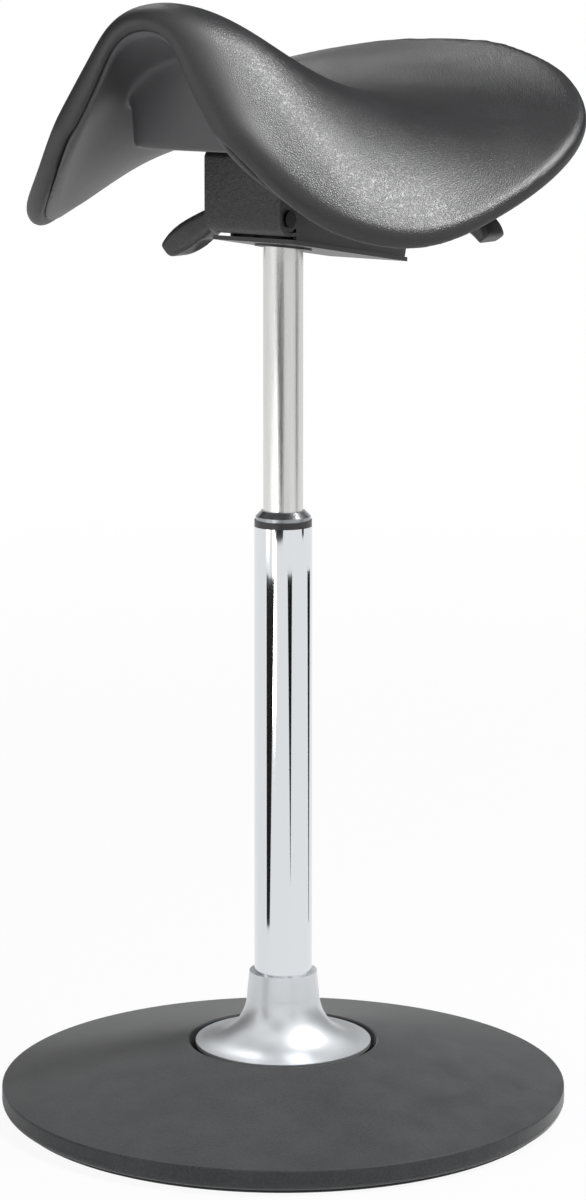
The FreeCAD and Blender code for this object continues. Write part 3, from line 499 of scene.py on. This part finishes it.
finishes = {
    "seat_skin": makeSkin(),
    "shell_plastic": makeShellPlastic(),
    "bracket_paint": makeWrinkleCoat(),
    "black_steel": makeBlackCoat(),
    "black_plastic": makeNylon(),
    "chrome_tube": makeChrome(),
    "polished_alloy": makeBuffed(),
    "brushed_tube": makeDrawnSteel(),
    "ring_alloy": makeTurnedSteel(),
    "bearing_steel": makeTurnedSteel(),
    "steel_plate": makeTurnedSteel(),
    "base_rubber": makeDiscSkin(),
    "floor_rubber": makeBlackRubber(),
    "buffer_rubber": makeBlackRubber(),
}
for entry in frame["record"]["subparts"]:
    piece = nodes[entry["node"]]
    piece.data.materials.clear()
    piece.data.materials.append(finishes[entry["material_slot"]])
nodes["pivot_pin"].data.materials[0] = makeBlackOxide()

# Saddle pad: the cast form, its edges eased all round and its nose and tail eased further.
# Fades are places along the saddle in millimetres, the pommel being at the low end.
pad = {
    "voxel": 1.8,
    "easing": 12,
    "easeFactor": 0.5,
    "endSwell": 0.5,      # makes up for what the further easing takes off
    "endEasing": 120,
    "noseFade": (-142.0, -112.0),
    "tailFade": (105.0, 150.0),
    "frontFade": (-150.0, -128.0),
    "frontGrain": 0.15,   # grain that is left on the front band
    "grainTurn": (-0.05, 0.25),   # upward part of the normal, from smooth underside to grained top
}


def makeSaddlePad():
    piece = copyOfNode("seat_pad", "saddlePad")
    applied(piece, "REMESH", mode="VOXEL", voxel_size=pad["voxel"] * mm)
    applied(piece, "SMOOTH", factor=pad["easeFactor"], iterations=pad["easing"])
    ends = piece.vertex_groups.new(name="ends")
    nose, tail = pad["noseFade"], pad["tailFade"]
    for vertex in piece.data.vertices:
        noseShare = 1.0 - smoothStep(nose[0] * mm, nose[1] * mm, vertex.co.y)
        tailShare = smoothStep(tail[0] * mm, tail[1] * mm, vertex.co.y)
        ends.add([vertex.index], noseShare + tailShare, "REPLACE")
    applied(piece, "DISPLACE", strength=pad["endSwell"] * mm, mid_level=0.0, vertex_group="ends")
    applied(piece, "SMOOTH", factor=pad["easeFactor"], iterations=pad["endEasing"], vertex_group="ends")
    amount = piece.data.attributes.new("grainAmount", "FLOAT", "POINT")
    front, turn, least = pad["frontFade"], pad["grainTurn"], pad["frontGrain"]
    for vertex in piece.data.vertices:
        upward = smoothStep(turn[0], turn[1], vertex.normal.z)
        notFront = smoothStep(front[0] * mm, front[1] * mm, vertex.co.y)
        amount.data[vertex.index].value = upward * (least + (1.0 - least) * notFront)
    finishWith(piece, finishes["seat_skin"])
    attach(piece, "seat")
    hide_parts("seat_pad")
    return piece


saddlePad = makeSaddlePad()
print("saddle pad:", len(saddlePad.data.polygons), "faces")

# Under-shell: inside corners filleted where block meets arch, front and rear rims eased further
under = {
    "swell": 0.6,
    "voxel": 1.4,
    "easing": 12,
    "blockEasing": 60,
    "edgeEasing": 30,
    "easeFactor": 0.5,
    "blockFront": (-142.0, -126.0),
    "blockSide": (78.0, 100.0),
    "edgeFade": (-132.0, -112.0),
    "tailFade": (100.0, 130.0),
    "kept": 0.3,   # share of the faces
}


def makeUnderShell():
    piece = copyOfNode("seat_shell", "underShell")
    applied(piece, "DISPLACE", strength=under["swell"] * mm, mid_level=0.0)
    applied(piece, "REMESH", mode="VOXEL", voxel_size=under["voxel"] * mm)
    applied(piece, "SMOOTH", factor=under["easeFactor"], iterations=under["easing"])
    block = piece.vertex_groups.new(name="block")
    edge = piece.vertex_groups.new(name="edge")
    front, side = under["blockFront"], under["blockSide"]
    nose, tail = under["edgeFade"], under["tailFade"]
    for vertex in piece.data.vertices:
        noseShare = 1.0 - smoothStep(nose[0] * mm, nose[1] * mm, vertex.co.y)
        tailShare = smoothStep(tail[0] * mm, tail[1] * mm, vertex.co.y)
        edge.add([vertex.index], noseShare + tailShare, "REPLACE")
        behind = smoothStep(front[0] * mm, front[1] * mm, vertex.co.y)
        beside = smoothStep(side[0] * mm, side[1] * mm, abs(vertex.co.x))
        block.add([vertex.index], behind * (1.0 - beside), "REPLACE")
    applied(piece, "SMOOTH", factor=under["easeFactor"], iterations=under["blockEasing"], vertex_group="block")
    applied(piece, "SMOOTH", factor=under["easeFactor"], iterations=under["edgeEasing"], vertex_group="edge")
    applied(piece, "DECIMATE", ratio=under["kept"])
    finishWith(piece, finishes["shell_plastic"])
    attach(piece, "seat")
    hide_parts("seat_shell")
    return piece


underShell = makeUnderShell()
print("under-shell:", len(underShell.data.polygons), "faces")

# Paddles: moulded nylon, every edge rounded off by the mould
paddles = {
    "voxel": 0.9,
    "easing": 14,
    "easeFactor": 0.5,
    "pieces": [  # CAD node, piece, body
        ("height_paddle", "heightPaddle", "height_lever"),
        ("tilt_paddle", "tiltPaddle", "tilt_lever"),
    ],
}


def makePaddle(nodeName, pieceName, bodyName):
    piece = copyOfNode(nodeName, pieceName)
    applied(piece, "REMESH", mode="VOXEL", voxel_size=paddles["voxel"] * mm)
    applied(piece, "SMOOTH", factor=paddles["easeFactor"], iterations=paddles["easing"])
    finishWith(piece, finishes["black_plastic"])
    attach(piece, bodyName)
    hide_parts(nodeName)
    return piece


for names in paddles["pieces"]:
    print("paddle:", names[1], len(makePaddle(*names).data.polygons), "faces")

# Studio: white paper floor, three softboxes, a low spot for the arch, and black flags and a white ring
# that only reflections see. Turns are in degrees from the camera, to the right as the photograph is seen.
studio = {
    "floor": "#f4f4f4",
    "floorSize": 60.0,
    "floorShine": 0.1,
    "floorGlow": 0.93,        # share of plain white in the floor as seen, so that a faint shadow stays
    "glowEdge": (0.35, 3.0),  # m from the stool, where the floor becomes plain white
    "dull": 0.9,              # roughness of paper, flags and card
    "sky": 0.16,
    "room": (0.04, 0.95),     # what shine sees of the room, from its dark end to the white wall by the camera
    "roomReach": 0.9,
    "lamps": [  # name, turn, distance, height, aim height, size, power
        ("keySoftbox", 84.0, 1.3, 2.2, 0.68, 0.7, 46.0),
        ("leftSoftbox", -62.0, 2.3, 0.7, 0.6, 1.5, 9.0),
        ("backSoftbox", -165.0, 1.7, 2.0, 0.68, 0.6, 5.0),
    ],
    "archSpot": {
        "turn": -35.0,
        "distance": 1.2,
        "height": 0.3,
        "aim": 0.7,
        "size": 0.3,
        "cone": 26.0,
        "blend": 0.7,
        "power": 26.0,
    },
    "card": {"distance": 0.62, "height": 0.53, "width": 0.26, "level": 0.92, "sides": 96},
    "flagColour": "#0a0a0a",
    "flagDistance": 0.5,
    "flags": [  # name, low and high edge, turns of its sides at the low edge, and at the high edge
        ("leftFlag", 0.0, 0.3, (-68.0, -54.0), (-68.0, -34.0)),
        ("rightFlag", 0.04, 0.3, (28.0, 29.0), (17.0, 35.0)),
        ("farFlag", 0.0, 0.3, (119.0, 123.0), (114.0, 131.0)),
        ("tubeFlag", 0.33, 0.58, (-32.0, 0.0), (-40.0, 6.0)),
        ("tubeRightFlag", 0.33, 0.58, (78.0, 88.0), (76.0, 92.0)),
    ],
}
cameraTurn = math.radians(37.0)


def aroundStool(turn, distance, height):
    angle = cameraTurn + math.radians(turn)
    return Vector((distance * math.sin(angle), -distance * math.cos(angle), height))


def aimAt(lamp, height):
    lamp.rotation_euler = (Vector((0, 0, height)) - lamp.location).to_track_quat("-Z", "Y").to_euler()


def onlyForShine(piece):
    piece.visible_camera = False
    piece.visible_diffuse = False
    piece.visible_shadow = False


def makeFloor():
    bpy.ops.mesh.primitive_plane_add(size=studio["floorSize"], location=(0, 0, 0))
    floor = bpy.context.object
    floor.name = "studioFloor"
    material, tree, shader = newMaterial("paperFloor", studio["floor"], studio["dull"])
    shader.inputs["Specular IOR Level"].default_value = studio["floorShine"]
    place = addNode(tree, "ShaderNodeTexCoord").outputs["Object"]
    away = addNode(tree, "ShaderNodeVectorMath", {"operation": "LENGTH"}, {0: place})
    near, far = studio["glowEdge"]
    share = addNode(tree, "ShaderNodeMapRange",
                    {"From Min": near, "From Max": far, "To Min": studio["floorGlow"], "To Max": 1.0,
                     "interpolation_type": "SMOOTHSTEP"},
                    {"Value": away.outputs["Value"]})
    rays = addNode(tree, "ShaderNodeLightPath")
    mirrored = addNode(tree, "ShaderNodeMath", {"operation": "MAXIMUM"},
                       {0: rays.outputs["Is Glossy Ray"], 1: rays.outputs["Is Transmission Ray"]})
    seen = addNode(tree, "ShaderNodeMath", {"operation": "MAXIMUM"},
                   {0: rays.outputs["Is Camera Ray"], 1: mirrored.outputs["Value"]})
    mix = addNode(tree, "ShaderNodeMath", {"operation": "MULTIPLY"},
                  {0: share.outputs["Result"], 1: seen.outputs["Value"]})
    glow = addNode(tree, "ShaderNodeEmission", {"Strength": 1.0})
    both = addNode(tree, "ShaderNodeMixShader", None,
                   {0: mix.outputs["Value"], 1: shader.outputs["BSDF"], 2: glow.outputs["Emission"]})
    tree.links.new(both.outputs["Shader"], tree.nodes["Material Output"].inputs["Surface"])
    floor.data.materials.append(material)


def makeSky():
    world = bpy.data.worlds.new("softSky")
    bpy.context.scene.world = world
    world.use_nodes = True
    tree = world.node_tree
    tree.nodes.clear()
    rays = addNode(tree, "ShaderNodeLightPath")
    fill = addNode(tree, "ShaderNodeBackground", {"Strength": studio["sky"], "Color": (1, 1, 1, 1)})
    place = addNode(tree, "ShaderNodeTexCoord").outputs["Generated"]
    whiteWall = aroundStool(0.0, 0.707, 0.707)   # half way up, on the camera's side
    facing = addNode(tree, "ShaderNodeVectorMath", {"operation": "DOT_PRODUCT", 1: whiteWall}, {0: place})
    darkEnd, brightEnd = studio["room"]
    level = addNode(tree, "ShaderNodeMapRange",
                    {"From Min": 0.0, "From Max": studio["roomReach"], "To Min": darkEnd, "To Max": brightEnd,
                     "interpolation_type": "SMOOTHSTEP"},
                    {"Value": facing.outputs["Value"]})
    room = addNode(tree, "ShaderNodeBackground", {"Color": (1, 1, 1, 1)}, {"Strength": level.outputs["Result"]})
    white = addNode(tree, "ShaderNodeBackground", {"Strength": 1.0, "Color": (1, 1, 1, 1)})
    inside = addNode(tree, "ShaderNodeMixShader", None,
                     {0: rays.outputs["Is Glossy Ray"], 1: fill.outputs["Background"],
                      2: room.outputs["Background"]})
    seen = addNode(tree, "ShaderNodeMath", {"operation": "MAXIMUM"},
                   {0: rays.outputs["Is Camera Ray"], 1: rays.outputs["Is Transmission Ray"]})
    both = addNode(tree, "ShaderNodeMixShader", None,
                   {0: seen.outputs["Value"], 1: inside.outputs["Shader"], 2: white.outputs["Background"]})
    addNode(tree, "ShaderNodeOutputWorld", None, {"Surface": both.outputs["Shader"]})


def makeLamps():
    for name, turn, distance, height, aim, size, power in studio["lamps"]:
        bpy.ops.object.light_add(type="AREA", location=aroundStool(turn, distance, height))
        lamp = bpy.context.object
        lamp.name = name
        lamp.data.shape = "DISK"
        lamp.data.size = size
        lamp.data.energy = power
        aimAt(lamp, aim)


def makeArchSpot():
    # low fill that reaches the inside of the arch and nothing below the levers
    spot = studio["archSpot"]
    bpy.ops.object.light_add(type="SPOT", location=aroundStool(spot["turn"], spot["distance"], spot["height"]))
    lamp = bpy.context.object
    lamp.name = "archSpot"
    lamp.data.energy = spot["power"]
    lamp.data.shadow_soft_size = spot["size"]
    lamp.data.spot_size = math.radians(spot["cone"])
    lamp.data.spot_blend = spot["blend"]
    aimAt(lamp, spot["aim"])


def makeFlags():
    black = newMaterial("blackFlag", studio["flagColour"], studio["dull"])[0]
    for name, low, high, lowTurns, highTurns in studio["flags"]:
        bpy.ops.mesh.primitive_plane_add(size=1.0)
        flag = bpy.context.object
        flag.name = name
        corners = [(lowTurns[0], low), (lowTurns[1], low), (highTurns[0], high), (highTurns[1], high)]
        for vertex, (turn, height) in zip(flag.data.vertices, corners):
            vertex.co = aroundStool(turn, studio["flagDistance"], height)
        flag.data.materials.append(black)
        onlyForShine(flag)


def makeCard():
    card = studio["card"]
    bpy.ops.mesh.primitive_cylinder_add(vertices=card["sides"], radius=card["distance"], depth=card["width"],
                                        end_fill_type="NOTHING", location=(0, 0, card["height"]))
    ring = bpy.context.object
    ring.name = "whiteCard"
    material, tree, shader = newMaterial("whiteCard", "#ffffff", studio["dull"])
    glow = addNode(tree, "ShaderNodeEmission", {"Strength": card["level"]})
    tree.links.new(glow.outputs["Emission"], tree.nodes["Material Output"].inputs["Surface"])
    ring.data.materials.append(material)
    onlyForShine(ring)


makeFloor()
makeSky()
makeLamps()
makeArchSpot()
makeFlags()
makeCard()
print("studio set")

# Camera: photograph's viewpoint, standing eye height, long lens
view = {
    "distance": 2.565,
    "eye": 0.836,
    "pitch": 6.74,
    "sensor": 36.0,
    "focal": 111.12,
    "shiftX": 0.0082,
    "shiftY": -0.2,
    "farthest": 100.0,
}


def makeCamera():
    bpy.ops.object.camera_add(location=aroundStool(0.0, view["distance"], view["eye"]),
                              rotation=(math.radians(90 - view["pitch"]), 0, cameraTurn))
    camera = bpy.context.object
    camera.name = "photoCamera"
    camera.data.sensor_width = view["sensor"]
    camera.data.lens = view["focal"]
    camera.data.shift_x = view["shiftX"]
    camera.data.shift_y = view["shiftY"]
    camera.data.clip_end = view["farthest"]
    bpy.context.scene.camera = camera


makeCamera()
bpy.context.scene.view_settings.view_transform = "Standard"
